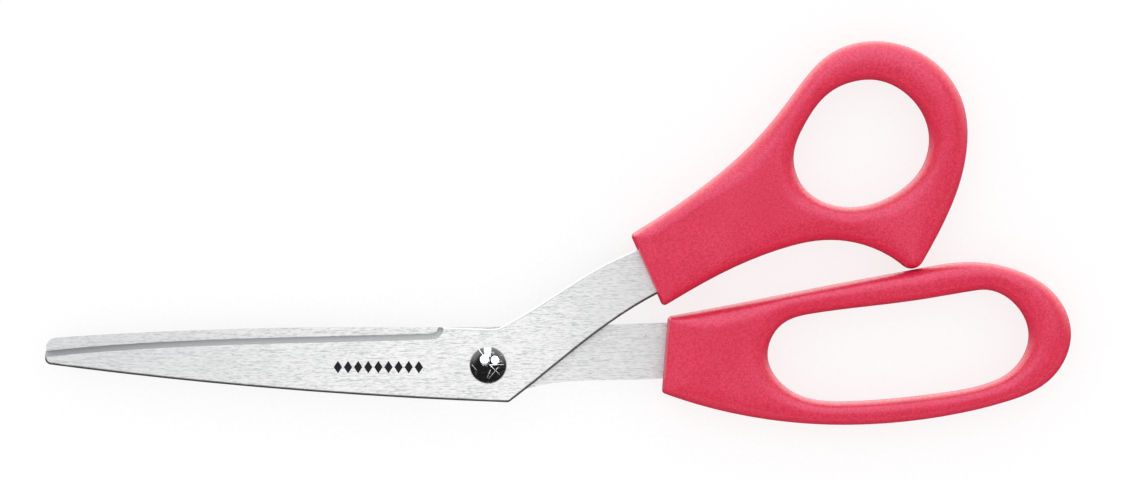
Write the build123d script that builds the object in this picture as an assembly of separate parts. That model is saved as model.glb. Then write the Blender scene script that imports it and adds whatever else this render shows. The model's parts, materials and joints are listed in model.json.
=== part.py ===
from build123d import *
from math import cos, radians, sin
import os

# Bent-handle shears, closed and lying flat, with the front blade on top.
# While drawing, the pivot axis is x = 0, y = 0 and the blades point towards -X.
# Everything is moved to the bottom centre of its box before it is written.

# Handles, in millimetres
HANDLE_THICKNESS = 10.4
HANDLE_EDGE_RADIUS = 2.0
MOUTH_EDGE_RADIUS = 0.8
STOP_TIP_RADIUS = 2.6

# Blades, in millimetres and degrees
BLADE_REACH = 87.7
BLADE_THICKNESS = 1.9
BLADE_GAP = 0.10
BLADE_LINE_RISE = 1.8
BLADE_EDGE_RADIUS = 0.55
FRONT_TIP_RADIUS = 1.3
BACK_TIP_RADIUS = 2.0
HEEL_CORNER_RADIUS = 1.2
SHANK_INNER_RADIUS = 4.0
BEVEL_WIDTH = 1.15
EDGE_LAND = 0.12
RICASSO_HALF_WIDTH = 7.15
RICASSO_REACH = 11.4
HOOK_RADIUS = 1.3
TANG_HOLE_RADIUS = 1.75
TANG_CORNER_RADIUS = 1.2

# Rivet and its washer, in millimetres
RIVET_SHANK_RADIUS = 2.0
RIVET_RUNNING_CLEARANCE = 0.05
RIVET_HEAD_RADIUS = 3.65
RIVET_HEAD_HEIGHT = 1.3
RIVET_TAIL_RADIUS = 2.6
RIVET_TAIL_HEIGHT = 0.8
WASHER_RADIUS = 3.4
WASHER_THICKNESS = 0.7
WASHER_CLEARANCE = 0.06
WASHER_CHAMFER = 0.2

# Heights that follow from them
MATING_Z = HANDLE_THICKNESS / 2
FRONT_INNER_Z = MATING_Z + BLADE_GAP / 2
FRONT_OUTER_Z = FRONT_INNER_Z + BLADE_THICKNESS
BACK_INNER_Z = MATING_Z - BLADE_GAP / 2
BACK_OUTER_Z = BACK_INNER_Z - BLADE_THICKNESS
WASHER_TOP_Z = BACK_OUTER_Z - WASHER_CLEARANCE
WASHER_BOTTOM_Z = WASHER_TOP_Z - WASHER_THICKNESS

# Both blades are alike from the tip to the ricasso. Their curves are drawn in the blade's
# own frame: how far towards the tip, and how far across from the pivot line.
SPINE_CURVE = [(58.4, 5.0), (31.8, 6.45), (10.0, 7.1)]
TIP_HALF_WIDTH = 2.5
CUTTING_CURVE = [(66.0, 2.4), (40.0, 4.2)]
CUTTING_HEEL = RICASSO_HALF_WIDTH - HOOK_RADIUS

FRONT, BACK = 1, -1

# Shanks and tangs, in plan
FRONT_RICASSO_END = (-1.5, RICASSO_HALF_WIDTH)
FRONT_HEEL = (-4.3, -RICASSO_HALF_WIDTH - 0.1)
FRONT_SHANK_TOP_CURVE = [(9.5, 11.5), (22.0, 19.3), (30.5, 23.1)]
FRONT_SHANK_BOTTOM_CURVE = [(36.0, 15.3), (23.8, 8.1), (7.8, -4.5)]
FRONT_TANG_TOP = Vector(48.0, 30.8)
FRONT_TANG_BOTTOM = Vector(51.8, 24.0)
FRONT_TANG_HOLES = [(38.5, 21.7, TANG_HOLE_RADIUS), (46.0, 25.6, TANG_HOLE_RADIUS)]
BACK_RICASSO_END = (-2.0, RICASSO_HALF_WIDTH)
BACK_SHANK_TOP_CURVE = [(37.0, 8.4), (23.9, 7.95)]
BACK_SHANK_BOTTOM_CURVE = [(9.5, -4.25), (19.5, -3.1), (37.0, -2.4)]
BACK_TANG_TOP = Vector(50.5, 7.4)
BACK_TANG_BOTTOM = Vector(50.5, -1.2)
BACK_TANG_HOLES = [(39.0, 3.0, TANG_HOLE_RADIUS), (46.5, 3.0, TANG_HOLE_RADIUS)]

# Handles, in plan: the corners, the curves between them and the bow's hole
THUMB_MOUTH_TOP = (28.2, 25.8)
THUMB_MOUTH_BOTTOM = (34.6, 11.5)
THUMB_STOP_TIP = (84.4, 17.45)
THUMB_OUTER_CURVE = [
    (42.0, 35.0), (52.9, 44.5), (60.6, 53.9), (67.8, 61.7), (76.7, 64.2),
    (88.3, 60.2), (94.1, 52.0), (94.9, 43.0), (91.6, 31.0),
]
THUMB_ARCH_CURVE = [(80.7, 20.8), (67.8, 24.75), (57.5, 22.8), (46.0, 18.0)]
THUMB_HOLE_CURVE = [
    (74.8, 56.5), (82.6, 53.9), (87.2, 46.5), (86.1, 39.5), (79.7, 33.4),
    (70.6, 31.3), (62.7, 35.0), (60.55, 41.3), (62.7, 47.6), (67.6, 53.9),
]
FINGER_MOUTH_TOP = (35.6, 9.6)
FINGER_MOUTH_BOTTOM = (34.4, -5.5)
FINGER_OUTER_CURVE = [
    (51.5, 12.6), (67.6, 15.8), (84.5, 18.95), (95.0, 20.4), (105.0, 18.7), (112.6, 13.7),
    (115.5, 6.5), (111.8, -2.5), (101.7, -7.6), (86.4, -10.8), (71.4, -11.9), (55.2, -10.8),
]
FINGER_HOLE_CURVE = [
    (97.0, 14.8), (103.8, 12.6), (107.1, 6.0), (104.0, -0.8), (98.0, -3.9), (87.7, -5.8),
    (71.4, -7.2), (60.0, -5.1), (55.4, 1.7), (58.2, 8.0), (64.5, 10.2), (84.2, 12.7),
]


def blade_point(reach, across, side):
    """A point of the closed blade. The cutting edge is at positive across on either side."""
    rise = radians(BLADE_LINE_RISE)
    x = -reach * cos(rise) + side * across * sin(rise)
    y = reach * sin(rise) + side * across * cos(rise)
    return Vector(x, y)


def cutting_side(side):
    """From the tip along the cutting edge to the ricasso, ending in the grinder's hook."""
    tip = blade_point(BLADE_REACH, 0, side)
    heel = blade_point(RICASSO_REACH, CUTTING_HEEL, side)
    hook_end = blade_point(RICASSO_REACH - HOOK_RADIUS, RICASSO_HALF_WIDTH, side)
    middle = [blade_point(reach, across, side) for reach, across in CUTTING_CURVE]
    edge = Spline(tip, *middle, heel)
    hook = TangentArc(heel, hook_end, tangent=edge.tangent_at(1))
    return [edge, hook]


def tip_side(side):
    """The blunt end of the blade, from the spine to the cutting edge."""
    return Line(blade_point(BLADE_REACH, -TIP_HALF_WIDTH, side), blade_point(BLADE_REACH, 0, side))


def spine_points(side):
    """The back of the blade, from the tip towards the pivot."""
    curve = [(BLADE_REACH, TIP_HALF_WIDTH)] + SPINE_CURVE
    return [blade_point(reach, -across, side) for reach, across in curve]


def front_outline():
    ricasso_start = blade_point(RICASSO_REACH - HOOK_RADIUS, RICASSO_HALF_WIDTH, FRONT)
    ricasso_end = blade_point(*FRONT_RICASSO_END, FRONT)
    heel = blade_point(*FRONT_HEEL, FRONT)
    return cutting_side(FRONT) + [
        Line(ricasso_start, ricasso_end),
        Spline(ricasso_end, *FRONT_SHANK_TOP_CURVE),
        Line(FRONT_SHANK_TOP_CURVE[-1], FRONT_TANG_TOP),
        Line(FRONT_TANG_TOP, FRONT_TANG_BOTTOM),
        Line(FRONT_TANG_BOTTOM, FRONT_SHANK_BOTTOM_CURVE[0]),
        Spline(*FRONT_SHANK_BOTTOM_CURVE, heel),
        Spline(heel, *reversed(spine_points(FRONT))),
        tip_side(FRONT),
    ]


def back_outline():
    ricasso_start = blade_point(RICASSO_REACH - HOOK_RADIUS, RICASSO_HALF_WIDTH, BACK)
    ricasso_end = blade_point(*BACK_RICASSO_END, BACK)
    return cutting_side(BACK) + [
        Line(ricasso_start, ricasso_end),
        Spline(ricasso_end, *BACK_SHANK_BOTTOM_CURVE),
        Line(BACK_SHANK_BOTTOM_CURVE[-1], BACK_TANG_BOTTOM),
        Line(BACK_TANG_BOTTOM, BACK_TANG_TOP),
        Line(BACK_TANG_TOP, BACK_SHANK_TOP_CURVE[0]),
        Spline(*BACK_SHANK_TOP_CURVE, *reversed(spine_points(BACK))),
        tip_side(BACK),
    ]


def nearest(edges, place):
    """The edge whose middle is nearest to a point."""
    return min(edges, key=lambda edge: (edge.center() - place).length)


def round_upright(solid, x, y, radius):
    """Round the corner of an upright plate that stands at x, y."""
    upright = solid.edges().filter_by(Axis.Z)
    corner = nearest(upright, Vector(x, y, upright[0].center().Z))
    return fillet(corner, radius)


def make_blade(outline, side, corners, rivet_hole_radius, tang_holes):
    """A stamped blade with a ground bevel and rolled edges on its outer face."""
    inner_z = FRONT_INNER_Z if side == FRONT else BACK_INNER_Z
    outer_z = inner_z + side * BLADE_THICKNESS
    blade = Pos(0, 0, inner_z) * extrude(make_face(outline), BLADE_THICKNESS * side)
    for corner, radius in corners:
        blade = round_upright(blade, corner.X, corner.Y, radius)

    outer_face = blade.faces().sort_by(Axis.Z)[-1 if side == FRONT else 0]
    cutting_middle = blade_point(*CUTTING_CURVE[1], side) + Vector(0, 0, outer_z)
    cutting_edge = nearest(outer_face.outer_wire().edges(), cutting_middle)
    blade = chamfer(cutting_edge, BEVEL_WIDTH, BLADE_THICKNESS - EDGE_LAND, reference=outer_face)

    outer_face = blade.faces().sort_by(Axis.Z)[-1 if side == FRONT else 0]
    upright_faces = [face for face in blade.faces() if abs(face.normal_at().Z) < 0.01]
    upright_rims = [edge.center() for face in upright_faces for edge in face.edges()]
    rolled = [
        edge
        for edge in outer_face.outer_wire().edges()
        if any((edge.center() - rim).length < 1e-6 for rim in upright_rims)
    ]
    blade = fillet(rolled, BLADE_EDGE_RADIUS)

    for x, y, radius in [(0, 0, rivet_hole_radius)] + tang_holes:
        blade -= Pos(x, y, MATING_Z) * Cylinder(radius, 4 * BLADE_THICKNESS)
    return blade


def make_front_blade():
    corners = [
        (blade_point(BLADE_REACH, -TIP_HALF_WIDTH, FRONT), FRONT_TIP_RADIUS),
        (blade_point(*FRONT_HEEL, FRONT), HEEL_CORNER_RADIUS),
        (blade_point(*FRONT_RICASSO_END, FRONT), SHANK_INNER_RADIUS),
        (FRONT_TANG_TOP, TANG_CORNER_RADIUS),
        (FRONT_TANG_BOTTOM, TANG_CORNER_RADIUS),
    ]
    return make_blade(front_outline(), FRONT, corners, RIVET_SHANK_RADIUS, FRONT_TANG_HOLES)


def make_back_blade():
    corners = [
        (blade_point(BLADE_REACH, -TIP_HALF_WIDTH, BACK), BACK_TIP_RADIUS),
        (BACK_TANG_TOP, TANG_CORNER_RADIUS),
        (BACK_TANG_BOTTOM, TANG_CORNER_RADIUS),
    ]
    hole_radius = RIVET_SHANK_RADIUS + RIVET_RUNNING_CLEARANCE
    return make_blade(back_outline(), BACK, corners, hole_radius, BACK_TANG_HOLES)


def make_handle(outline, bow_hole, mouth_middle, stop_tip, blade):
    """A moulded handle: a plate with rounded rims and a finger hole, cast round a tang."""
    plate = extrude(make_face(outline), HANDLE_THICKNESS)
    plate -= extrude(make_face(Spline(bow_hole, periodic=True)), HANDLE_THICKNESS)
    if stop_tip:
        plate = round_upright(plate, *stop_tip, STOP_TIP_RADIUS)
    flats = [face for face in plate.faces() if abs(face.normal_at().Z) > 0.99]
    mouth = min(plate.faces(), key=lambda face: (face.center() - mouth_middle).length)
    mouth_rims = [edge.center() for edge in mouth.edges()]
    rims = [
        edge
        for flat in flats
        for edge in flat.edges()
        if all((edge.center() - rim).length > 1e-6 for rim in mouth_rims)
    ]
    plate = fillet(rims, HANDLE_EDGE_RADIUS)
    mouth = min(plate.faces(), key=lambda face: (face.center() - mouth_middle).length)
    plate = fillet(mouth.edges(), MOUTH_EDGE_RADIUS)
    return plate - blade


def make_thumb_handle(front_blade):
    outer = Spline(THUMB_MOUTH_TOP, *THUMB_OUTER_CURVE, THUMB_STOP_TIP)
    arch = Spline(THUMB_STOP_TIP, *THUMB_ARCH_CURVE, THUMB_MOUTH_BOTTOM)
    mouth = Line(THUMB_MOUTH_BOTTOM, THUMB_MOUTH_TOP)
    mouth_middle = mouth.center() + Vector(0, 0, MATING_Z)
    return make_handle([outer, arch, mouth], THUMB_HOLE_CURVE, mouth_middle, THUMB_STOP_TIP, front_blade)


def make_finger_handle(back_blade):
    outer = Spline(FINGER_MOUTH_TOP, *FINGER_OUTER_CURVE, FINGER_MOUTH_BOTTOM)
    mouth = Line(FINGER_MOUTH_BOTTOM, FINGER_MOUTH_TOP)
    mouth_middle = mouth.center() + Vector(0, 0, MATING_Z)
    return make_handle([outer, mouth], FINGER_HOLE_CURVE, mouth_middle, None, back_blade)


def dome(radius, height, base_z, side):
    """A shallow dome of circular section on a flat base, rising along +Z or -Z."""
    ball_radius = (radius**2 + height**2) / (2 * height)
    ball = Pos(0, 0, base_z + side * (height - ball_radius)) * Sphere(ball_radius)
    keep = Pos(0, 0, base_z + side * height / 2) * Cylinder(radius, height)
    return ball & keep


def make_rivet():
    shank_length = FRONT_OUTER_Z - WASHER_BOTTOM_Z
    shank = Pos(0, 0, WASHER_BOTTOM_Z + shank_length / 2) * Cylinder(RIVET_SHANK_RADIUS, shank_length)
    head = dome(RIVET_HEAD_RADIUS, RIVET_HEAD_HEIGHT, FRONT_OUTER_Z, FRONT)
    tail = dome(RIVET_TAIL_RADIUS, RIVET_TAIL_HEIGHT, WASHER_BOTTOM_Z, BACK)
    return shank + head + tail


def make_washer():
    middle_z = (WASHER_TOP_Z + WASHER_BOTTOM_Z) / 2
    disc = Pos(0, 0, middle_z) * Cylinder(WASHER_RADIUS, WASHER_THICKNESS)
    rim = disc.edges().sort_by(Axis.Z)[0]
    disc = chamfer(rim, WASHER_CHAMFER)
    return disc - Pos(0, 0, middle_z) * Cylinder(RIVET_SHANK_RADIUS, 2 * WASHER_THICKNESS)


front_blade = make_front_blade()
back_blade = make_back_blade()
nodes = {
    "front_blade": front_blade,
    "back_blade": back_blade,
    "thumb_handle": make_thumb_handle(front_blade),
    "finger_handle": make_finger_handle(back_blade),
    "pivot_rivet": make_rivet(),
    "rivet_washer": make_washer(),
}
box = Compound(children=[Compound(shape.solids()) for shape in nodes.values()]).bounding_box()
to_frame = Pos(-box.center().X, -box.center().Y, -box.min.Z)
print("pivot axis in the part's frame, mm:", to_frame.position)

os.makedirs("parts", exist_ok=True)
for name, shape in nodes.items():
    export_step(to_frame * shape, f"parts/{name}.step")
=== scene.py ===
"""Looks for a pair of bent-handle shears, built around the fixed frame of their mechanical model.

The two blades and the washer keep their mechanical shapes; the blades get ground steel and the washer
stamped steel.
The two handles are moulded again as softly rounded plastic grips.
The rivet is turned with a polished dome.
"""

import json
import math

import bmesh
import bpy
import numpy as np
from bpy.props import FloatProperty, FloatVectorProperty, IntProperty, PointerProperty
from mathutils import Matrix, Vector


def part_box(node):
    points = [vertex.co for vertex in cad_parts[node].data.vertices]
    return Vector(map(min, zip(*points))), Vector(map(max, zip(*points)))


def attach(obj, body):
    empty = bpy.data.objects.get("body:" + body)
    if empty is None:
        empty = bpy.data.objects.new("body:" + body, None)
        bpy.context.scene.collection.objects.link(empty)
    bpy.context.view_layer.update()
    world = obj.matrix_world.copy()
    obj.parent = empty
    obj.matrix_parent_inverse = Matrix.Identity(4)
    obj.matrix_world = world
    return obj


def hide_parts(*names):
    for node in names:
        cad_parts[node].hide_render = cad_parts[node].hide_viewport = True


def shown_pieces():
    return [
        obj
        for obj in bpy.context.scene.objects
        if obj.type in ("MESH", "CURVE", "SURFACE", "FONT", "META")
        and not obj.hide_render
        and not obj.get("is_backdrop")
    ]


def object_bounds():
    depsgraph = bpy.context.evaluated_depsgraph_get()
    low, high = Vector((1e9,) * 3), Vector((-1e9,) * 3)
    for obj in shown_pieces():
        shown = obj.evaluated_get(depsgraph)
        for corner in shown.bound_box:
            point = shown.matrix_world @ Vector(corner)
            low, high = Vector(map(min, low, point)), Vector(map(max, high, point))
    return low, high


bl_info = {
    "name": "Bent-handle shears",
    "version": (1, 0, 0),
    "blender": (4, 5, 0),
    "location": "3D View > Sidebar > Shears",
    "description": "Finishes the blades, moulds the handles, turns the rivet and lights the shears",
    "category": "Object",
}

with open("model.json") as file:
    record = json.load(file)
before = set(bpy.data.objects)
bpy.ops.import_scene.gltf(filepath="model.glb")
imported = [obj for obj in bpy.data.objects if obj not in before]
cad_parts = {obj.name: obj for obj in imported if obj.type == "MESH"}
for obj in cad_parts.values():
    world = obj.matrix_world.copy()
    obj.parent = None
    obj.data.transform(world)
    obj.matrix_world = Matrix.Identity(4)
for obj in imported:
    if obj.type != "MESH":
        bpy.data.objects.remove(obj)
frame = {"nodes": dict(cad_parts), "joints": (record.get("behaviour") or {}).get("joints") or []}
CAD_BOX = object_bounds()

MM = 0.001
PIVOT = Vector(frame["joints"][0]["pos_m"])
UP = Vector((0, 0, 1))

# Steel and its finish
BEVEL_FACING = 0.54  # upward share of the ground bevel's normal
OUTER_FACE = (0.90, 0.95)  # upward share of the normal where the etched face starts
EDGE_FACING = (0.92, 0.99)  # and between the edges and the flat faces
SPINE_FACING = (0.0, 0.12)  # sideways share of the normal where the painted shade on the spine edges starts
BEVEL_MARGIN = (0.02, 0.04)
MARK_GAP = 1.15  # above 1 leaves bare steel between the diamonds
MARK_OUTLINE = (0.92, 1.0)  # softness of a diamond's outline
MARK_END = 0.01 * MM
MARK_DULLING = 0.25
# Straight scratches on the dome: real grooves and dulling, with a bright colour that is painted reflection
# of thin lines of light.
SCRATCHES = (  # centre from the pivot's axis, turn in degrees, and length, in mm
    (1.3, -0.8, -46, 3.0),
    (1.8, 0.15, 0, 2.9),
    (0.15, -1.7, 66, 2.0),
    (1.05, -1.55, 51, 3.2),
    (-2.7, -0.45, -48, 1.6),
    (-1.4, 2.6, -55, 1.9),
)
BEVEL_RUN = 45 * MM  # length over which the bevel turns from its tip colour to its own
HANDLE_SHADE = (4 * MM, 36 * MM)  # where the painted shade on the steel starts and ends, darkening it towards the handles
TIP_SHADE = (88 * MM, 10 * MM)  # where the painted shade ends and starts, darkening the steel towards the tips
# strongest share of the painted shade towards the handles and the tips
END_SHADE = 0.50
STREAK_SHARE = 0.65  # of the streaks in the grinding, and the rest is hairlines
STREAK_RANGE = (0.34, 0.56)
STEEL_CLOUD = 9 * MM
STEEL_CLOUD_RANGE = (0.40, 0.75)
STEEL_CLOUD_SHARE = 0.12
SPECK_SIZE = 0.55 * MM
SPECK_RANGE = (0.76, 0.80)
SPECK_SHARE = 0.6
GROUND_DEPTH = 0.006 * MM
GRAIN_RANGE = (0.3, 0.7)  # noise that spans the least to the greatest roughness
SCRATCH_DEPTH = 0.01 * MM
SCRATCH_WIDTH = (0.04 * MM, 0.09 * MM)  # from the scratch's full depth to its edge
SCRATCH_ENDS = (0.40, 0.55)  # where a scratch fades out, as shares of its length
SCRATCH_DULLING = 0.45
SMUDGE_SIZE = 1.0 * MM
SMUDGE_RANGE = (0.50, 0.66)
SMUDGE_DULLING = 0.24
STAMPED_GRAIN = (0.35 * MM, 0.35 * MM, 0.15 * MM)
STAMPED_DEPTH = 0.01 * MM
STAMPED_RANGE = (0.35, 0.65)
STAMPED_ROUGHNESS = (0.46, 0.30)

# Plastic
SAND_SHARE = 0.6  # of the sand in the skin, and the rest is pebbles
PEBBLE_SCALE = 2.6
SKIN_RANGE = (0.36, 0.64)
FLOW_SIZE = 12 * MM
FLOW_RANGE = (0.35, 0.80)
FLOW_SHARE = 0.25
WORN_FACING = (0.55, 0.95)  # upward share of the normal where the handles are worn
WORN_RANGE = (0.4, 0.6)
WORN_GLOSS = 0.05
SKIN_ROUGHNESS = 0.06  # above and below the plastic's own roughness

# Handles
BROAD_PART = (10 * MM, 17 * MM)  # from a bar to a broad part, by width
BAR_LIMIT = 12 * MM  # the widest that a bar's flanks go on growing
CREST_ROOM = 0.96  # share of a bar that its two flanks take together
CREST_WIDTH = 0.25 * MM  # the least width left between the two flanks
DISH_SHARE = 0.60  # share of a broad part that the slope into the hole takes
NARROW_BAR = (4.5 * MM, 9 * MM)  # from the narrowest bar to full height, by width
MOUTH_CUTS = 14
MOUTH_DEPTH = 0.2 * MM  # rim points nearer the mouth than this are on the mouth
TIGHTEST_TURN = 0.5 * MM  # least radius that a rim's turn counts as
TURN_SHARE = 0.62  # share of a turn's radius that the rounding may take
REACH_SLOPE = 0.5  # fastest that the rounding grows along the rim
HOLE_POINTS = 2 / 3  # points round a hole as a share of those round a rim
DIRECTION_SPAN = 3  # points on each side that give a line's direction
TURN_SPAN = 4  # points on each side that give a rim's turn
STRAIGHTEST = 0.001  # least turn, in radians
WIDTH_SMOOTHING = 3  # points on each side that a value is averaged over
BAR_SMOOTHING = 14
RIM_SMOOTHING = 5
HOLE_SMOOTHING = 10
HEIGHT_SMOOTHING = 12

# Rivet
DOME_STEPS = 24
LIP_BULGE = 0.35  # height on the lip, as a share, up to which the dome's edge is upright
LIP_UNDERCUT = 0.3
CROWN_SHARE = 0.30  # of the tail's height that its rounded end takes
CROWN_SQUARENESS = 0.7
CROWN_DEGREES = range(20, 90, 10)
TAIL_OUTLINE = ((0.96, 0.0), (1.0, 0.25), (0.97, 0.55))  # shares of the tail's radius and of its height

# Studio
FLECK_COLOUR = (0.6, 0.6, 0.6, 1.0)
FLECK_SIZE = 0.8 * MM
FLECK_SHARE = 0.04
FLOOR_GAP = 0.05 * MM  # between the floor and the lowest point
WORLD_SHOWN = 0.99  # brightness of the surroundings where the camera sees them
WORLD_DARK = 0.03  # least brightness of the surroundings in reflections
FILL_RANGE = (0.95, 1.10)  # soft fill from the finger side and from the thumb side
GLOW_LOW = (-0.02, 0.04)  # height at which the glow near the horizon starts
GLOW_HIGH = (0.12, 0.24)  # and ends
GLOW_FRONT = (-0.5, 0.1)  # how far round it reaches from the finger side
GLOW_STRENGTH = 1.1
FAR_SIDE = (-0.15, 0.6)  # how far round the brighter glow reaches from the thumb side
FAR_HIGH = (0.12, 0.26)  # height at which it falls from its full strength to its faint one
FAR_STRENGTH = (2.6, 0.45)
FAR_TOP = (0.55, 0.80)  # height at which it ends
RIVET_LAMPS = (  # name, degrees from upright, heading and size
    ("lamp_left", 23.7, (-0.554, 0.832), (0.56,)),
    ("lamp_right", 30.0, (0.81, 0.59), (0.50,)),
)
STRIP_LAMP = ("lamp_strip", 58.0, (-0.05, 1.0), (0.42, 1.15))
BROAD_LAMP = ("lamp_broad", 48.0, (0.0, 1.0), (1.6, 1.5))
OVERHEAD_LAMP = ("lamp_overhead", 6.0, (0.0, 1.0), (6.0, 6.0))
LAMP_DISTANCE = 1.0
OVERHEAD_DISTANCE = 1.2
SENSOR_WIDTH = 36.0
CAMERA_SHIFT = (0.82 * MM, -1.40 * MM)  # from the middle of the shears

# Meshes
MERGE_DISTANCE = 0.001 * MM
CUT_DISTANCE = 0.0001 * MM


# ---------------------------------------------------------------- nodes


def add_node(tree, kind, inputs=None, **settings):
    """A new node with its settings, and its inputs set to values or joined to other nodes' sockets."""
    made = tree.nodes.new(kind)
    for name, value in settings.items():
        setattr(made, name, value)
    for name, value in (inputs or {}).items():
        if isinstance(value, bpy.types.NodeSocket):
            tree.links.new(value, made.inputs[name])
        else:
            made.inputs[name].default_value = value
    return made


def calculate(tree, operation, *values):
    """The result of one sum on numbers or sockets."""
    return add_node(tree, "ShaderNodeMath", dict(enumerate(values)), operation=operation).outputs[0]


def between(tree, value, low, high, at_low=0.0, at_high=1.0):
    """A smooth step of a value from low to high, clamped outside them."""
    made = add_node(
        tree,
        "ShaderNodeMapRange",
        {"Value": value, "From Min": low, "From Max": high, "To Min": at_low, "To Max": at_high},
        interpolation_type="SMOOTHSTEP",
    )
    return made.outputs["Result"]


def blend_colours(tree, share, first, second):
    """A colour between two colours or colour sockets."""
    made = add_node(tree, "ShaderNodeMix", data_type="RGBA")
    for number, value in ((0, share), (6, first), (7, second)):
        if isinstance(value, bpy.types.NodeSocket):
            tree.links.new(value, made.inputs[number])
        else:
            made.inputs[number].default_value = value
    return made.outputs[2]


def grain(tree, place, size, detail=3.0, distortion=0.0):
    """Noise whose lumps are about the given size, one number or one for each axis, in metres."""
    sizes = size if isinstance(size, tuple) else (size,) * 3
    stretched = add_node(
        tree, "ShaderNodeMapping", {"Vector": place, "Scale": tuple(1 / s for s in sizes)}
    )
    made = add_node(
        tree,
        "ShaderNodeTexNoise",
        {"Vector": stretched.outputs[0], "Scale": 1.0, "Detail": detail, "Distortion": distortion},
    )
    return made.outputs["Fac"]


def start_material(name):
    """A material with its node tree, its main shader and the sockets of the object's own coordinates."""
    material = bpy.data.materials.new(name)
    material.use_nodes = True
    tree = material.node_tree
    place = add_node(tree, "ShaderNodeTexCoord")
    return material, tree, tree.nodes["Principled BSDF"], place.outputs["Object"], place.outputs["Normal"]


def join(tree, shader, **sockets):
    """Joins sockets to the main shader's inputs, whose names have _ for each space."""
    for name, socket in sockets.items():
        tree.links.new(socket, shader.inputs[name.replace("_", " ")])


def bump(tree, height, depth):
    """A surface normal from a height of 0 to 1 that stands for the given depth in metres."""
    made = add_node(tree, "ShaderNodeBump", {"Height": height, "Distance": depth, "Strength": 1.0})
    return made.outputs["Normal"]


# ---------------------------------------------------------------- materials


def etched_mark(tree, place, normal, settings):
    """1 inside a row of small etched diamonds on the outer face of the front blade, and 0 elsewhere."""
    axes = add_node(tree, "ShaderNodeSeparateXYZ", {"Vector": place})
    facing = add_node(tree, "ShaderNodeSeparateXYZ", {"Vector": normal})
    along = calculate(tree, "SUBTRACT", axes.outputs["X"], PIVOT.x + settings.mark_centre[0])
    across = calculate(tree, "SUBTRACT", axes.outputs["Y"], PIVOT.y + settings.mark_centre[1])
    pitch = settings.mark_length / settings.mark_count
    turn = 0.5 * (settings.mark_count % 2)
    step = calculate(tree, "FRACT", calculate(tree, "ADD", calculate(tree, "DIVIDE", along, pitch), turn))
    from_middle = calculate(tree, "ABSOLUTE", calculate(tree, "SUBTRACT", step, 0.5))
    sideways = calculate(tree, "MULTIPLY", from_middle, 2.0 * MARK_GAP)
    upwards = calculate(tree, "ABSOLUTE", calculate(tree, "DIVIDE", across, settings.mark_height / 2))
    reach = calculate(tree, "ADD", sideways, upwards)
    solid = between(tree, reach, *MARK_OUTLINE, 1.0, 0.0)
    half = settings.mark_length / 2
    inside = between(tree, calculate(tree, "ABSOLUTE", along), half, half + MARK_END, 1.0, 0.0)
    upper = between(tree, facing.outputs["Z"], *OUTER_FACE)
    return calculate(tree, "MULTIPLY", calculate(tree, "MULTIPLY", solid, inside), upper)


def ground_steel(name, settings, spine_side, marked):
    """Satin steel: grinding streaks, darker ground bevel, specks, and painted shade on the spine and
    towards handles and tips.
    """
    material, tree, shader, place, normal = start_material(name)
    facing = add_node(tree, "ShaderNodeSeparateXYZ", {"Vector": normal})
    length, width = settings.streak_length, settings.streak_width
    streaks = grain(tree, place, (length, width, width), detail=4.0, distortion=0.6)
    hairlines = grain(tree, place, (4 * length, width / 2, width / 2), detail=2.0)
    clouds = grain(tree, place, STEEL_CLOUD, detail=2.0)
    specks = between(tree, grain(tree, place, SPECK_SIZE, detail=1.0), *SPECK_RANGE)

    mixed = calculate(tree, "ADD", calculate(tree, "MULTIPLY", streaks, STREAK_SHARE),
                      calculate(tree, "MULTIPLY", hairlines, 1 - STREAK_SHARE))
    light = between(tree, mixed, *STREAK_RANGE)
    body = blend_colours(tree, light, settings.streak_colour, settings.steel_colour)
    cloudy = between(tree, clouds, *STEEL_CLOUD_RANGE, 0.0, STEEL_CLOUD_SHARE)
    body = blend_colours(tree, cloudy, body, settings.streak_colour)
    specked = calculate(tree, "MULTIPLY", specks, SPECK_SHARE)
    body = blend_colours(tree, specked, body, settings.mark_colour)

    along = add_node(tree, "ShaderNodeSeparateXYZ", {"Vector": place}).outputs["X"]
    # Painted shade: the steel is blended towards the streak colour near the handles and near the tips,
    # standing in for the light falling off there.
    near, far = HANDLE_SHADE
    towards_handle = between(tree, along, PIVOT.x + near, PIVOT.x + far, 0.0, END_SHADE)
    far, near = TIP_SHADE
    towards_tip = between(tree, along, PIVOT.x - far, PIVOT.x - near, END_SHADE, 0.0)
    shade = calculate(tree, "ADD", towards_handle, towards_tip)
    body = blend_colours(tree, shade, body, settings.streak_colour)

    # Painted shade: edges on the spine side take the dark spine colour, standing in for the dark
    # surroundings they reflect; the other edges take the streak colour.
    upwards = calculate(tree, "ABSOLUTE", facing.outputs["Z"])
    edge = between(tree, upwards, *EDGE_FACING, 1.0, 0.0)
    backwards = calculate(tree, "MULTIPLY", facing.outputs["Y"], spine_side)
    spine = between(tree, backwards, *SPINE_FACING)
    sheared = blend_colours(tree, spine, settings.streak_colour, settings.spine_shade_colour)
    body = blend_colours(tree, edge, body, sheared)
    off_bevel = calculate(tree, "ABSOLUTE", calculate(tree, "SUBTRACT", upwards, BEVEL_FACING))
    on_bevel = between(tree, off_bevel, *BEVEL_MARGIN, 1.0, 0.0)
    from_tip = between(tree, along, CAD_BOX[0].x, CAD_BOX[0].x + BEVEL_RUN)
    bevel = blend_colours(tree, from_tip, settings.bevel_tip_colour, settings.bevel_colour)
    body = blend_colours(tree, on_bevel, body, bevel)
    roughness = between(tree, mixed, *GRAIN_RANGE, settings.roughness + 0.06, settings.roughness - 0.04)
    if marked:
        mark = etched_mark(tree, place, normal, settings)
        body = blend_colours(tree, mark, body, settings.mark_colour)
        roughness = calculate(tree, "ADD", roughness, calculate(tree, "MULTIPLY", mark, MARK_DULLING))
    join(tree, shader, Base_Color=body, Roughness=roughness, Normal=bump(tree, mixed, GROUND_DEPTH))
    shader.inputs["Metallic"].default_value = 1.0
    return material


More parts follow.
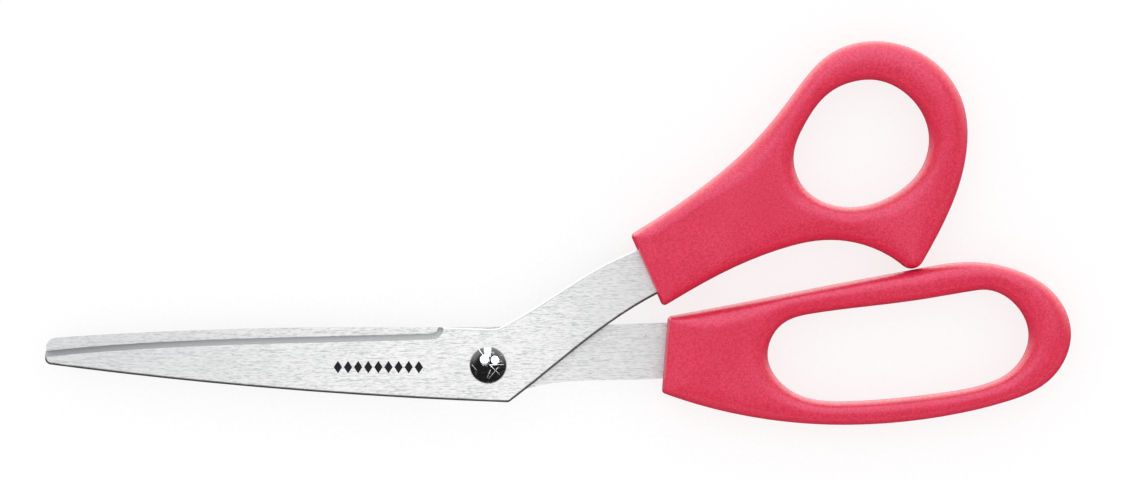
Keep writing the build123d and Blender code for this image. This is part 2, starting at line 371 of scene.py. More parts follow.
def scratches(tree, place):
    """1 along a few straight scratches on the dome, and 0 elsewhere."""
    total = 0.0
    for x, y, degrees, length in SCRATCHES:
        local = add_node(
            tree, "ShaderNodeMapping",
            {"Vector": place, "Location": (PIVOT.x + x * MM, PIVOT.y + y * MM, 0),
             "Rotation": (0, 0, math.radians(degrees))}, vector_type="TEXTURE")
        axes = add_node(tree, "ShaderNodeSeparateXYZ", {"Vector": local.outputs[0]})
        off_line = calculate(tree, "ABSOLUTE", axes.outputs["Y"])
        from_middle = calculate(tree, "ABSOLUTE", axes.outputs["X"])
        thin = between(tree, off_line, *SCRATCH_WIDTH, 1.0, 0.0)
        inner, outer = (share * length * MM for share in SCRATCH_ENDS)
        ends = between(tree, from_middle, inner, outer, 1.0, 0.0)
        total = calculate(tree, "MAXIMUM", total, calculate(tree, "MULTIPLY", thin, ends))
    return total


def polished_steel(name, settings):
    """Bright polished steel with straight scratches, painted bright as reflected lines of light, and dull
    smudges.
    """
    material, tree, shader, place, _ = start_material(name)
    scratch = scratches(tree, place)
    smears = grain(tree, place, SMUDGE_SIZE, detail=5.0, distortion=0.8)
    smudge = between(tree, smears, *SMUDGE_RANGE)
    # Painted reflection: the scratches' bright colour stands in for thin lines of light that they reflect.
    colour = blend_colours(tree, scratch, settings.dome_colour, settings.scratch_glint_colour)
    smudged = calculate(tree, "MULTIPLY", smudge, SMUDGE_DULLING)
    scratched = calculate(tree, "MULTIPLY", scratch, SCRATCH_DULLING)
    roughness = calculate(tree, "ADD", calculate(tree, "ADD", settings.dome_roughness, smudged), scratched)
    join(tree, shader, Base_Color=colour, Roughness=roughness, Normal=bump(tree, scratch, -SCRATCH_DEPTH))
    shader.inputs["Metallic"].default_value = 1.0
    return material


def stamped_steel(name, settings):
    """Plain stamped steel with a fine mottle, for the washer."""
    material, tree, shader, place, _ = start_material(name)
    mottle = grain(tree, place, STAMPED_GRAIN, detail=4.0)
    light = between(tree, mottle, *STAMPED_RANGE)
    colour = blend_colours(tree, light, settings.streak_colour, settings.steel_colour)
    roughness = between(tree, mottle, *GRAIN_RANGE, *STAMPED_ROUGHNESS)
    join(tree, shader, Base_Color=colour, Roughness=roughness, Normal=bump(tree, mottle, STAMPED_DEPTH))
    shader.inputs["Metallic"].default_value = 1.0
    return material


def moulded_plastic(name, settings):
    """Red plastic: sandy skin painted lighter on its tops and deeper between as highlight and shade, flow
    clouds, worn crest.
    """
    material, tree, shader, place, normal = start_material(name)
    facing = add_node(tree, "ShaderNodeSeparateXYZ", {"Vector": normal})
    sand = grain(tree, place, settings.grain_size, detail=2.0)
    pebbles = grain(tree, place, PEBBLE_SCALE * settings.grain_size, detail=2.0)
    clouds = grain(tree, place, FLOW_SIZE, detail=2.0)
    skin = calculate(tree, "ADD", calculate(tree, "MULTIPLY", sand, SAND_SHARE),
                     calculate(tree, "MULTIPLY", pebbles, 1 - SAND_SHARE))

    # Painted highlight and shade of the skin: lighter red on the grain's tops, deeper red between them,
    # following the bump.
    tops = between(tree, skin, *SKIN_RANGE)
    colour = blend_colours(tree, tops, settings.deep_colour, settings.light_colour)
    cloudy = between(tree, clouds, *FLOW_RANGE, 0.0, FLOW_SHARE)
    colour = blend_colours(tree, cloudy, colour, settings.deep_colour)
    flat = between(tree, calculate(tree, "ABSOLUTE", facing.outputs["Z"]), *WORN_FACING)
    worn = calculate(tree, "MULTIPLY", flat, between(tree, clouds, *WORN_RANGE))
    dull, glossy = settings.roughness + SKIN_ROUGHNESS, settings.roughness - SKIN_ROUGHNESS
    rough = between(tree, skin, *GRAIN_RANGE, dull, glossy)
    rough = calculate(tree, "SUBTRACT", rough, calculate(tree, "MULTIPLY", worn, WORN_GLOSS))
    join(tree, shader, Base_Color=colour, Roughness=rough, Normal=bump(tree, skin, settings.grain_depth))
    shader.inputs["IOR"].default_value = 1.5
    return material


def pale_floor(name, settings):
    """Matt pale paper for the floor."""
    material, tree, shader, place, _ = start_material(name)
    fibre = grain(tree, place, FLECK_SIZE)
    flecks = between(tree, fibre, *GRAIN_RANGE, 0.0, FLECK_SHARE)
    colour = blend_colours(tree, flecks, settings.floor_colour, FLECK_COLOUR)
    join(tree, shader, Base_Color=colour)
    shader.inputs["Roughness"].default_value = 0.9
    shader.inputs["Specular IOR Level"].default_value = 0.1
    shader.inputs["Emission Color"].default_value = (1.0, 1.0, 1.0, 1.0)
    shader.inputs["Emission Strength"].default_value = settings.floor_lift
    return material


# ---------------------------------------------------------------- mesh helpers


def keep_piece(shape, name, body, node, material):
    """Turns a finished bmesh into a smooth piece that rides on a body and stands for a frame node."""
    mesh = bpy.data.meshes.new(name)
    shape.to_mesh(mesh)
    shape.free()
    mesh.shade_smooth()
    mesh.materials.append(material)
    piece = bpy.data.objects.new(name, mesh)
    bpy.context.scene.collection.objects.link(piece)
    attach(piece, body)
    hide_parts(node)
    return piece


def close_up(shape):
    """Joins doubled vertices and turns every face outwards."""
    bmesh.ops.remove_doubles(shape, verts=shape.verts, dist=MERGE_DISTANCE)
    bmesh.ops.recalc_face_normals(shape, faces=shape.faces)


def closed_loops(edges):
    """The closed loops that the edges make, each a list of vertices in order."""
    links = {}
    for edge in edges:
        first, second = edge.verts
        links.setdefault(first, []).append(second)
        links.setdefault(second, []).append(first)
    loops = []
    while links:
        start = next(iter(links))
        loop, previous, here = [start], start, links.pop(start)[0]
        while here is not start:
            loop.append(here)
            ahead, behind = links.pop(here)
            previous, here = here, (behind if ahead is previous else ahead)
        loops.append(loop)
    return loops


def level_outlines(node, height):
    """The rim and the hole of a frame node where a level plane cuts it, both anticlockwise."""
    shape = bmesh.new()
    shape.from_mesh(frame["nodes"][node].data)
    bmesh.ops.remove_doubles(shape, verts=shape.verts, dist=MERGE_DISTANCE)
    cut = bmesh.ops.bisect_plane(
        shape, geom=shape.verts[:] + shape.edges[:] + shape.faces[:], plane_co=(0, 0, height), plane_no=UP
    )
    edges = [part for part in cut["geom_cut"] if isinstance(part, bmesh.types.BMEdge)]
    outlines = [np.array([v.co.xy for v in loop]) for loop in closed_loops(edges)]
    shape.free()
    if len(outlines) != 2:
        raise RuntimeError(f"{node} should show a rim and one hole at its parting plane")
    outlines = [line if enclosed_area(line) > 0 else line[::-1] for line in outlines]
    return sorted(outlines, key=enclosed_area, reverse=True)


def enclosed_area(outline):
    """The area inside a closed outline, above zero if it runs anticlockwise."""
    x, y = outline.T
    return 0.5 * float(np.sum(x * np.roll(y, -1) - y * np.roll(x, -1)))


def evenly_spaced(outline, count):
    """A closed outline again with its points the same distance apart."""
    closed = np.vstack([outline, outline[:1]])
    travelled = np.concatenate([[0.0], np.cumsum(np.linalg.norm(np.diff(closed, axis=0), axis=1))])
    stops = np.linspace(0.0, travelled[-1], count, endpoint=False)
    return np.column_stack([np.interp(stops, travelled, closed[:, axis]) for axis in (0, 1)])


def left_side(outline):
    """Unit directions to the left of a closed outline's travel: inwards on an anticlockwise one."""
    ahead = np.roll(outline, -DIRECTION_SPAN, axis=0) - np.roll(outline, DIRECTION_SPAN, axis=0)
    ahead /= np.linalg.norm(ahead, axis=1)[:, None]
    return np.column_stack([-ahead[:, 1], ahead[:, 0]])


def averaged(values, span, passes=3):
    """A closed run of values with each one averaged over its neighbours."""
    for _ in range(passes):
        padded = np.concatenate([values[-span:], values, values[:span]])
        values = np.convolve(padded, np.full(2 * span + 1, 1 / (2 * span + 1)), "valid")
    return values


def smooth_step(value, low, high):
    """0 below low and 1 above high, with a smooth turn between them."""
    share = np.clip((value - low) / (high - low), 0.0, 1.0)
    return share * share * (3.0 - 2.0 * share)


def grow_rings(shape, number, rings):
    """Grows a sheet of quads through closed rings of points, and gives the last ring's edges."""
    verts = bmesh.ops.create_circle(shape, cap_ends=False, segments=len(rings[0]), radius=1.0)["verts"]
    for index, vert in enumerate(verts):
        vert[number] = index
    edges = list({edge for vert in verts for edge in vert.link_edges})
    for step, ring in enumerate(rings):
        if step:
            grown = bmesh.ops.extrude_edge_only(shape, edges=edges)["geom"]
            verts = [part for part in grown if isinstance(part, bmesh.types.BMVert)]
            edges = [part for part in grown if isinstance(part, bmesh.types.BMEdge)]
        for vert in verts:
            vert.co = ring[vert[number]]
    return edges


# ---------------------------------------------------------------- handles


def mouth_line(outline):
    """A point of the straight mouth where the blade enters, and the unit direction into the handle."""
    ends = np.roll(outline, -1, axis=0)
    longest = int(np.argmax(np.linalg.norm(ends - outline, axis=1)))
    along = ends[longest] - outline[longest]
    along /= np.linalg.norm(along)
    return outline[longest], np.array([-along[1], along[0]])


def held_to_slope(limits, spacing, slope):
    """Limits on a closed line, lowered so that they never rise faster than the slope."""
    values = limits.copy()
    for ahead in (1, -1):
        for index in range(0, 2 * len(values) * ahead, ahead):
            here, before = index % len(values), (index - ahead) % len(values)
            values[here] = min(values[here], values[before] + slope * spacing)
    return values


def rim_rounding(rim, widths, room, mouth, crest, settings):
    """How far the rounded outer edge reaches in from each rim point, within the room it has."""
    spacing = float(np.linalg.norm(rim[1] - rim[0]))
    broad = smooth_step(widths, *BROAD_PART)
    bar_reach = CREST_ROOM * crest * np.minimum(widths, BAR_LIMIT)
    reach = averaged(bar_reach * (1 - broad) + settings.rim_radius * broad, BAR_SMOOTHING)
    ahead = np.roll(rim, -2, axis=0) - np.roll(rim, 2, axis=0)
    heading = np.arctan2(ahead[:, 1], ahead[:, 0])
    turning = np.roll(heading, -TURN_SPAN) - np.roll(heading, TURN_SPAN)
    turning = (turning + math.pi) % (2 * math.pi) - math.pi
    radius = 2 * TURN_SPAN * spacing / np.maximum(turning, STRAIGHTEST)
    limits = np.minimum(np.minimum(reach, room), TURN_SHARE * np.maximum(radius, TIGHTEST_TURN))
    limits = np.where(mouth < MOUTH_DEPTH, np.minimum(limits, settings.mouth_radius), limits)
    return averaged(held_to_slope(limits, spacing, REACH_SLOPE), RIM_SMOOTHING)


def flank_rings(edge, inwards, reach, height, settings):
    """Rings of points from the parting seam up a rounded flank, which is set back from the seam."""
    power = 2 / settings.roundness
    rings = [np.column_stack([edge, np.zeros(len(edge))])]
    for step in range(settings.flank_rings + 1):
        angle = math.pi / 2 * step / settings.flank_rings
        over = settings.seam_depth + (reach - settings.seam_depth) * (1 - math.cos(angle) ** power)
        rise = settings.seam_height + (height - settings.seam_height) * math.sin(angle) ** power
        rings.append(np.column_stack([edge + inwards * over[:, None], rise]))
    return rings


def bar_heights(widths, half_height, settings):
    """The height of the crest, which is a little lower where the handle is a narrow bar."""
    thick = smooth_step(widths, *NARROW_BAR)
    share = settings.bar_height + (1 - settings.bar_height) * thick
    return averaged(half_height * share, HEIGHT_SMOOTHING)


def hole_rounding(widths, dish, crest):
    """How far the slope into the hole reaches out from each of its points."""
    bar_share = CREST_ROOM * (1 - crest)
    share = bar_share + (DISH_SHARE - bar_share) * smooth_step(widths, *BROAD_PART)
    return averaged(np.minimum(share * widths, dish), HOLE_SMOOTHING)


def handle_half(node, parting, half_height, dish, crest, settings):
    """The upper half of a handle, with its parting plane at height 0."""
    outline, opening = level_outlines(node, parting)
    rim = evenly_spaced(outline, settings.columns)
    hole = evenly_spaced(opening, round(settings.columns * HOLE_POINTS))
    gaps = np.linalg.norm(rim[:, None] - hole[None], axis=2)
    widths = averaged(gaps.min(axis=1), WIDTH_SMOOTHING)
    hole_widths = averaged(gaps.min(axis=0), WIDTH_SMOOTHING)
    start, inwards = mouth_line(outline)
    hole_reach = hole_rounding(hole_widths, dish, crest)
    room = np.min(gaps - hole_reach[None], axis=1) - CREST_WIDTH
    reach = rim_rounding(rim, widths, room, (rim - start) @ inwards, crest, settings)

    shape = bmesh.new()
    number = shape.verts.layers.int.new("number")
    rim_heights = bar_heights(widths, half_height, settings)
    hole_heights = bar_heights(hole_widths, half_height, settings)
    flank = flank_rings(rim, left_side(rim), reach, rim_heights, settings)
    slope = flank_rings(hole, -left_side(hole), hole_reach, hole_heights, settings)
    brink = grow_rings(shape, number, flank) + grow_rings(shape, number, slope)
    bmesh.ops.triangle_fill(shape, use_beauty=True, use_dissolve=False, edges=brink, normal=UP)
    swell_from_mouth(shape, start, inwards, settings)
    return shape


def swell_from_mouth(shape, start, inwards, settings):
    """Lowers a handle towards its mouth, after cutting its crest across so that it can bend."""
    into = Vector((*inwards, 0))
    for step in range(1, MOUTH_CUTS + 1):
        place = Vector((*start, 0)) + into * (settings.taper_length * step / MOUTH_CUTS)
        geometry = shape.verts[:] + shape.edges[:] + shape.faces[:]
        bmesh.ops.bisect_plane(shape, geom=geometry, dist=CUT_DISTANCE, plane_co=place, plane_no=into)
    for vert in shape.verts:
        inside = float((np.array(vert.co.xy) - start) @ inwards)
        swell = float(smooth_step(inside, 0.0, settings.taper_length))
        vert.co.z *= settings.mouth_height + (1 - settings.mouth_height) * swell


def mould_handle(node, body, dish, crest, material, settings):
    """A rounded plastic grip in the place of a frame handle."""
    low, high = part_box(node)
    parting, half_height = (low.z + high.z) / 2, (high.z - low.z) / 2
    shape = handle_half(node, parting, half_height, dish, crest, settings)
    geometry = shape.verts[:] + shape.edges[:] + shape.faces[:]
    bmesh.ops.mirror(shape, geom=geometry, matrix=Matrix(), merge_dist=MERGE_DISTANCE, axis="Z")
    bmesh.ops.translate(shape, verts=shape.verts, vec=(0, 0, parting))
    close_up(shape)
    return keep_piece(shape, node + "_grip", body, node, material)


# ---------------------------------------------------------------- rivet


def rivet_profile(settings):
    """The rivet's half section from the top of its dome to the end of its tail, as radius and height."""
    low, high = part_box("pivot_rivet")
    face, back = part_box("front_blade")[1].z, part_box("rivet_washer")[0].z
    head_radius, rise = (high.x - low.x) / 2, high.z - face
    lip = settings.lip_height
    cap = rise - lip
    ball = (head_radius**2 + cap**2) / (2 * cap)
    edge = math.asin(head_radius / ball)
    angles = [edge * step / DOME_STEPS for step in range(DOME_STEPS + 1)]
    dome = [(ball * math.sin(angle), high.z - ball * (1 - math.cos(angle))) for angle in angles]
    shank, tail = settings.shank_radius, settings.tail_radius
    rim = [(head_radius, face + LIP_BULGE * lip), (head_radius - LIP_UNDERCUT * lip, face)]
    height = back - low.z
    peen = [(tail * wide, back - down * height) for wide, down in TAIL_OUTLINE]
    crown = []
    for angle in map(math.radians, CROWN_DEGREES):
        wide = tail * math.cos(angle) ** CROWN_SQUARENESS
        crown.append((wide, low.z + CROWN_SHARE * height * (1 - math.sin(angle))))
    return dome + rim + [(shank, face), (shank, back)] + peen + crown + [(0.0, low.z)]


def turn_rivet(settings, material):
    """The pivot rivet, its profile spun about the pivot's axis."""
    shape = bmesh.new()
    verts = [shape.verts.new((PIVOT.x + r, PIVOT.y, z)) for r, z in rivet_profile(settings)]
    edges = [shape.edges.new(pair) for pair in zip(verts, verts[1:])]
    bmesh.ops.spin(shape, geom=verts + edges, cent=PIVOT, axis=UP, dvec=(0, 0, 0), angle=2 * math.pi,
                   steps=settings.spin_steps, use_merge=True, use_duplicate=False)
    close_up(shape)
    return keep_piece(shape, "pivot_rivet_turned", "front_half", "pivot_rivet", material)


# ---------------------------------------------------------------- settings


class BladeSettings(bpy.types.PropertyGroup):
    """Colours and finish of the steel."""

    steel_colour: FloatVectorProperty(
        name="Steel", description="Colour of the ground steel", subtype="COLOR", size=4, min=0, max=1,
        default=(0.88, 0.88, 0.883, 1.0))
    streak_colour: FloatVectorProperty(
        name="Streaks", description="Colour in the grinding streaks", subtype="COLOR", size=4, min=0,
        max=1,
        default=(0.52, 0.525, 0.535, 1.0))
    bevel_colour: FloatVectorProperty(
        name="Bevel", description="Colour of the ground cutting bevel", subtype="COLOR", size=4, min=0,
        max=1,
        default=(0.235, 0.237, 0.24, 1.0))
    bevel_tip_colour: FloatVectorProperty(
        name="Bevel tip", description="Colour of the cutting bevel near the tip", subtype="COLOR", size=4,
        min=0, max=1, default=(0.185, 0.187, 0.192, 1.0))
    # Painted shade on the spine edges, standing in for the dark surroundings they reflect.
    spine_shade_colour: FloatVectorProperty(
        name="Spine", description="Colour of the blades' dark sheared backs", subtype="COLOR", size=4,
        min=0, max=1,
        default=(0.13, 0.13, 0.135, 1.0))
    mark_colour: FloatVectorProperty(
        name="Mark", description="Colour of the etched mark and of specks", subtype="COLOR", size=4,
        min=0, max=1,
        default=(0.03, 0.03, 0.035, 1.0))
    roughness: FloatProperty(
        name="Roughness", description="Roughness of the ground steel", default=0.44, min=0.1, max=1.0)
    streak_length: FloatProperty(
        name="Streak length", description="Length of the grinding streaks", default=1.2 * MM,
        unit="LENGTH")
    streak_width: FloatProperty(
        name="Streak width", description="Width of the grinding streaks", default=0.20 * MM,
        unit="LENGTH")
    mark_centre: FloatVectorProperty(
        name="Mark centre", description="Centre of the etched mark from the pivot", size=2, unit="LENGTH",
        default=(-21.7 * MM, -0.4 * MM))
    mark_length: FloatProperty(
        name="Mark length", description="Length of the row of diamonds", default=18.0 * MM, unit="LENGTH")
    mark_height: FloatProperty(
        name="Mark height", description="Height of each diamond", default=2.6 * MM, unit="LENGTH")
    mark_count: IntProperty(
        name="Mark count", description="Number of diamonds in the row", default=9, min=1)


class HandleSettings(bpy.types.PropertyGroup):
    """Shape and finish of the moulded handles."""

    # Painted highlight and shade: the light red goes on the grain's tops and the deep red between them;
    # the deep red is also the flow clouds' own tone.
    light_colour: FloatVectorProperty(
        name="Light red", description="Colour on the tops of the grain", subtype="COLOR", size=4, min=0,
        max=1,
        default=(0.82, 0.036, 0.104, 1.0))
    deep_colour: FloatVectorProperty(
        name="Deep red", description="Colour between the grain", subtype="COLOR", size=4, min=0, max=1,
        default=(0.58, 0.005, 0.034, 1.0))
    roughness: FloatProperty(
        name="Roughness", description="Roughness of the plastic", default=0.38, min=0.1, max=1)
    grain_size: FloatProperty(
        name="Grain size", description="Size of the sandy grain", default=0.20 * MM, unit="LENGTH")
    grain_depth: FloatProperty(
        name="Grain depth", description="Depth of the sandy grain", default=0.02 * MM, unit="LENGTH")
    thumb_crest: FloatProperty(
        name="Thumb crest",
        description="Where the crest lies across the thumb ring, from its rim to its hole",
        default=0.57, min=0.2, max=0.8, subtype="FACTOR")
    finger_crest: FloatProperty(
        name="Finger crest",
        description="Where the crest lies across the finger loop, from its rim to its hole",
        default=0.49, min=0.2, max=0.8, subtype="FACTOR")
    rim_radius: FloatProperty(
        name="Rim radius", description="Rounding of the outer edge on broad parts", default=2.8 * MM,
        unit="LENGTH")
    mouth_radius: FloatProperty(
        name="Mouth radius", description="Rounding of the edge where the blade enters", default=0.7 * MM,
        unit="LENGTH")
    thumb_dish: FloatProperty(
        name="Thumb dish", description="Widest slope into the thumb hole", default=7.0 * MM,
        unit="LENGTH")
    finger_dish: FloatProperty(
        name="Finger dish", description="Widest slope into the finger hole", default=4.5 * MM,
        unit="LENGTH")
    roundness: FloatProperty(
        name="Roundness", description="2 gives elliptical flanks and more gives squarer ones",
        default=2.3, min=2, max=6)
    bar_height: FloatProperty(
        name="Bar height", description="Height of the narrowest bars, as a share", default=0.92, min=0.5,
        max=1)
    mouth_height: FloatProperty(
        name="Mouth height", description="Height at the mouth, as a share", default=0.92, min=0.5, max=1)
    taper_length: FloatProperty(
        name="Taper length", description="Length over which the mouth swells", default=18.0 * MM,
        unit="LENGTH")
    seam_depth: FloatProperty(
        name="Seam depth", description="How far the parting seam stands out", default=0.05 * MM,
        unit="LENGTH")
    seam_height: FloatProperty(
        name="Seam height", description="Half the height of the parting seam", default=0.12 * MM,
        unit="LENGTH")
    columns: IntProperty(name="Columns", description="Points round each handle", default=720, min=120)
    flank_rings: IntProperty(
        name="Flank rings", description="Rings on each rounded flank", default=10, min=4)


class RivetSettings(bpy.types.PropertyGroup):
    """Shape and finish of the pivot rivet."""

    dome_colour: FloatVectorProperty(
        name="Dome", description="Colour of the polished dome", subtype="COLOR", size=4, min=0, max=1,
        default=(0.38, 0.385, 0.40, 1.0))
    # Painted reflection: the scratches' bright colour stands in for thin lines of light; their dulling and
    # grooves are real.
    scratch_glint_colour: FloatVectorProperty(
        name="Scratches", description="Colour of the bright scratches", subtype="COLOR", size=4, min=0,
        max=1,
        default=(0.95, 0.95, 0.96, 1.0))
    dome_roughness: FloatProperty(
        name="Roughness", description="Roughness of the polished dome", default=0.07, min=0, max=1)
    lip_height: FloatProperty(
        name="Lip height", description="Height of the dome's upright edge", default=0.18 * MM,
        unit="LENGTH")
    shank_radius: FloatProperty(
        name="Shank radius", description="Radius of the shank", default=2.0 * MM, unit="LENGTH")
    tail_radius: FloatProperty(
        name="Tail radius", description="Radius of the peened tail", default=2.6 * MM, unit="LENGTH")
    spin_steps: IntProperty(name="Spin steps", description="Steps round the rivet", default=96, min=16)


class StudioSettings(bpy.types.PropertyGroup):
    """Floor, lights and camera."""

    floor_colour: FloatVectorProperty(
        name="Floor", description="Colour of the floor", subtype="COLOR", size=4, min=0, max=1,
        default=(0.20, 0.20, 0.20, 1.0))
    floor_lift: FloatProperty(
        name="Floor lift", description="Glow that softens shadows on the floor", default=0.78, min=0)
    floor_size: FloatProperty(
        name="Floor size", description="Width of the floor", default=8.0, unit="LENGTH")
    lens: FloatProperty(
        name="Lens", description="Focal length of the camera", default=150.0, unit="CAMERA")
    camera_height: FloatProperty(
        name="Camera height", description="Height of the camera above the shears", default=0.924,
        unit="LENGTH")
    lamp_power: FloatProperty(
        name="Lamp power", description="Power of each main lamp", default=3.6, unit="POWER")
    strip_power: FloatProperty(
        name="Strip power", description="Power of the strip lamp", default=3.6, unit="POWER")
    broad_power: FloatProperty(
        name="Broad power", description="Power of the broad lamp that only the grips see", default=18.0,
        unit="POWER")
    broad_colour: FloatVectorProperty(
        name="Broad colour", description="Cool colour of the broad lamp", subtype="COLOR", size=3, min=0,
        max=1,
        default=(0.66, 0.69, 1.0))
    overhead_power: FloatProperty(
        name="Overhead power", description="Power of the wide lamp over the blades", default=114.0,
        unit="POWER")
    fill: FloatProperty(
        name="Fill", description="Strength of the soft fill from all round", default=1.08, min=0)


# ---------------------------------------------------------------- operators


class SHEARS_OT_finish_blades(bpy.types.Operator):
    """Give the two blades their ground steel and the washer its stamped steel"""

    bl_idname = "shears.finish_blades"
    bl_label = "Finish the blades"

    def execute(self, context):
        settings = context.scene.shears_blades
        finishes = {
            "front_blade": ground_steel("front_blade_steel", settings, spine_side=-1.0, marked=True),
            "back_blade": ground_steel("back_blade_steel", settings, spine_side=1.0, marked=False),
            "rivet_washer": stamped_steel("washer_steel", settings),
        }
        for node, material in finishes.items():
            mesh = frame["nodes"][node].data
            if not mesh.materials:
                raise RuntimeError(f"{node} has no material slot")
            for slot in range(len(mesh.materials)):
                mesh.materials[slot] = material
        return {"FINISHED"}


class SHEARS_OT_mould_handles(bpy.types.Operator):
    """Mould the thumb handle and the finger handle"""

    bl_idname = "shears.mould_handles"
    bl_label = "Mould the handles"

    def execute(self, context):
        settings = context.scene.shears_handles
        plastic = moulded_plastic("handle_red_plastic", settings)
        thumb = (settings.thumb_dish, settings.thumb_crest)
        finger = (settings.finger_dish, settings.finger_crest)
        mould_handle("thumb_handle", "front_half", *thumb, plastic, settings)
        mould_handle("finger_handle", "back_half", *finger, plastic, settings)
        return {"FINISHED"}


class SHEARS_OT_turn_rivet(bpy.types.Operator):
    """Turn the pivot rivet with its polished dome"""

    bl_idname = "shears.turn_rivet"
    bl_label = "Turn the rivet"

    def execute(self, context):
        settings = context.scene.shears_rivet
        turn_rivet(settings, polished_steel("rivet_polished_steel", settings))
        return {"FINISHED"}


class SHEARS_OT_light_studio(bpy.types.Operator):
    """Lay the floor and set up the lamps, the surroundings and the camera"""

    bl_idname = "shears.light_studio"
    bl_label = "Light the studio"

    def execute(self, context):
        settings = context.scene.shears_studio
        lay_floor(settings)
        hang_lamps(settings)
        surround(context.scene, settings)
        place_camera(context.scene, settings)
        context.scene.view_settings.view_transform = "Standard"
        return {"FINISHED"}


class SHEARS_PT_panel(bpy.types.Panel):
    """Buttons for each part of the shears"""

    bl_idname = "SHEARS_PT_panel"
    bl_label = "Bent-handle shears"
    bl_space_type = "VIEW_3D"
    bl_region_type = "UI"
    bl_category = "Shears"

    def draw(self, context):
        for operator in OPERATORS:
            self.layout.operator(operator.bl_idname)


# ---------------------------------------------------------------- studio


def lay_floor(settings):
    """A wide pale floor at the height of the lowest point."""
    shape = bmesh.new()
    bmesh.ops.create_grid(shape, x_segments=8, y_segments=8, size=settings.floor_size / 2)
    bmesh.ops.translate(shape, verts=shape.verts, vec=(0, 0, CAD_BOX[0].z - FLOOR_GAP))
    mesh = bpy.data.meshes.new("floor")
    shape.to_mesh(mesh)
    shape.free()
    mesh.materials.append(pale_floor("floor_paper", settings))
    floor = bpy.data.objects.new("floor", mesh)
    bpy.context.scene.collection.objects.link(floor)
    floor.visible_glossy = False
    floor.visible_diffuse = False
    floor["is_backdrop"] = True


def add_lamp(place, distance, power, lit):
    """An area lamp that faces the pivot from its place and shines only on some pieces."""
    name, off_upright, heading, size = place
    data = bpy.data.lights.new(name, "AREA")
    data.shape = "DISK" if len(size) == 1 else "RECTANGLE"
    data.size = size[0]
    if len(size) == 2:
        data.size_y = size[1]
    data.energy = power
    lamp = bpy.data.objects.new(name, data)
    towards = tilted(off_upright, *heading).normalized()
    lamp.location = PIVOT + towards * distance
    lamp.rotation_euler = towards.to_track_quat("Z", "Y").to_euler()
    lamp.visible_camera = False
    lamp.visible_diffuse = False
    lamp.light_linking.receiver_collection = lit
    bpy.context.scene.collection.objects.link(lamp)
    return lamp


def tilted(off_upright, heading_x, heading_y):
    """A direction tilted from straight up towards a heading, by an angle in degrees."""
    angle = math.radians(off_upright)
    heading = Vector((heading_x, heading_y, 0)).normalized()
    return UP * math.cos(angle) + heading * math.sin(angle)


def pieces_named(*endings):
    """A collection, for a lamp to shine on, of the pieces whose names end in one of the endings."""
    chosen = bpy.data.collections.new("lit" + "".join(endings))
    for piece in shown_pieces():
        if piece.name.endswith(endings):
            chosen.objects.link(piece)
    return chosen


def hang_lamps(settings):
    """Three lamps for the rivet, a broad one for the grips and a wide one for the blades."""
    sparkle = pieces_named("_turned", "_washer")
    for place in RIVET_LAMPS:
        add_lamp(place, LAMP_DISTANCE, settings.lamp_power, sparkle)
    add_lamp(STRIP_LAMP, LAMP_DISTANCE, settings.strip_power, sparkle)
    broad = add_lamp(BROAD_LAMP, LAMP_DISTANCE, settings.broad_power, pieces_named("_grip"))
    broad.data.color = settings.broad_colour
    add_lamp(OVERHEAD_LAMP, OVERHEAD_DISTANCE, settings.overhead_power, pieces_named("_blade"))


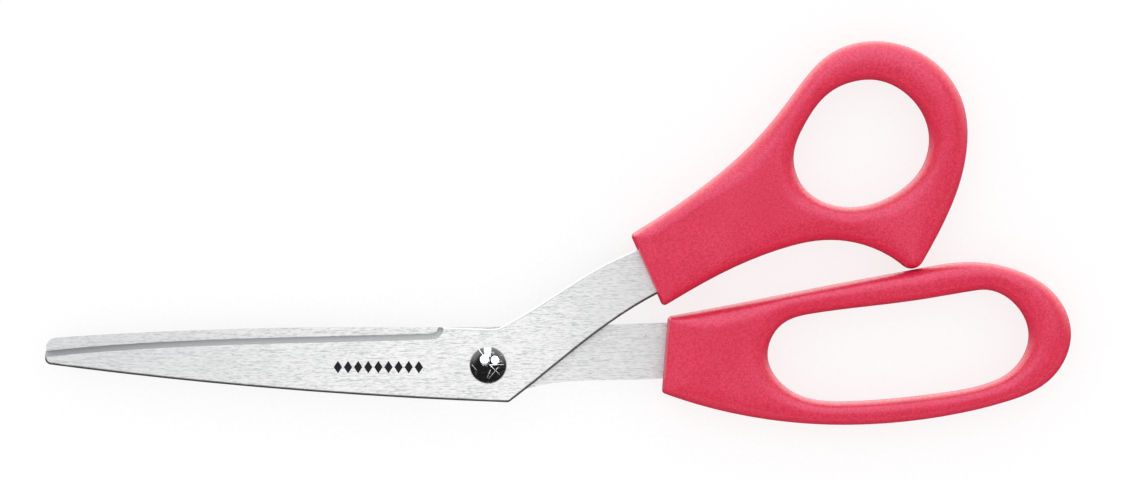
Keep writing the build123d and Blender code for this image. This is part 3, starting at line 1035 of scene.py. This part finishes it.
def surround(scene, settings):
    """Surroundings that look pale, give a soft fill, and are dark overhead in reflections."""
    world = bpy.data.worlds.new("studio")
    world.use_nodes = True
    scene.world = world
    tree = world.node_tree
    background = tree.nodes["Background"]
    rays = add_node(tree, "ShaderNodeLightPath")
    place = add_node(tree, "ShaderNodeTexCoord")
    axes = add_node(tree, "ShaderNodeSeparateXYZ", {"Vector": place.outputs["Generated"]})
    height = axes.outputs["Z"]
    low_down = calculate(tree, "MULTIPLY", between(tree, height, *GLOW_LOW),
                         between(tree, height, *GLOW_HIGH, 1.0, 0.0))
    front = between(tree, axes.outputs["Y"], *GLOW_FRONT, GLOW_STRENGTH, 0.0)
    behind = between(tree, axes.outputs["Y"], *FAR_SIDE)
    beyond = calculate(tree, "MULTIPLY", behind, between(tree, height, *FAR_HIGH, *FAR_STRENGTH))
    beyond = calculate(tree, "MULTIPLY", beyond, between(tree, height, *FAR_TOP, 1.0, 0.0))
    glimmer = calculate(tree, "ADD", calculate(tree, "MULTIPLY", low_down, front), beyond)
    glimmer = calculate(tree, "ADD", glimmer, WORLD_DARK)
    fill = between(tree, axes.outputs["Y"], -1.0, 1.0, *FILL_RANGE)
    soft = calculate(tree, "MULTIPLY", fill, settings.fill)
    lighting = add_node(
        tree, "ShaderNodeMix",
        {"Factor": rays.outputs["Is Glossy Ray"], "A": soft, "B": glimmer}, data_type="FLOAT",
    ).outputs["Result"]
    shown = add_node(
        tree, "ShaderNodeMix",
        {"Factor": rays.outputs["Is Camera Ray"], "A": lighting, "B": WORLD_SHOWN}, data_type="FLOAT",
    ).outputs["Result"]
    tree.links.new(shown, background.inputs["Strength"])
    background.inputs["Color"].default_value = (1.0, 1.0, 1.0, 1.0)


def place_camera(scene, settings):
    """A camera that looks straight down at the middle of the shears."""
    low, high = CAD_BOX
    data = bpy.data.cameras.new("camera")
    data.lens = settings.lens
    data.sensor_width = SENSOR_WIDTH
    camera = bpy.data.objects.new("camera", data)
    x = (low.x + high.x) / 2 + CAMERA_SHIFT[0]
    y = (low.y + high.y) / 2 + CAMERA_SHIFT[1]
    camera.location = (x, y, high.z + settings.camera_height)
    scene.collection.objects.link(camera)
    scene.camera = camera


# ---------------------------------------------------------------- add-on


SETTINGS = {
    "shears_blades": BladeSettings,
    "shears_handles": HandleSettings,
    "shears_rivet": RivetSettings,
    "shears_studio": StudioSettings,
}
OPERATORS = (
    SHEARS_OT_finish_blades,
    SHEARS_OT_mould_handles,
    SHEARS_OT_turn_rivet,
    SHEARS_OT_light_studio,
)


def register():
    """Registers the settings, the operators and the panel."""
    for name, group in SETTINGS.items():
        bpy.utils.register_class(group)
        setattr(bpy.types.Scene, name, PointerProperty(type=group))
    for shown in (*OPERATORS, SHEARS_PT_panel):
        bpy.utils.register_class(shown)


def unregister():
    """Takes away what register added."""
    for shown in (SHEARS_PT_panel, *reversed(OPERATORS)):
        bpy.utils.unregister_class(shown)
    for name, group in SETTINGS.items():
        delattr(bpy.types.Scene, name)
        bpy.utils.unregister_class(group)


def main():
    """Builds the whole scene."""
    register()
    bpy.ops.shears.finish_blades()
    bpy.ops.shears.mould_handles()
    bpy.ops.shears.turn_rivet()
    bpy.ops.shears.light_studio()


if __name__ == "__main__":
    main()
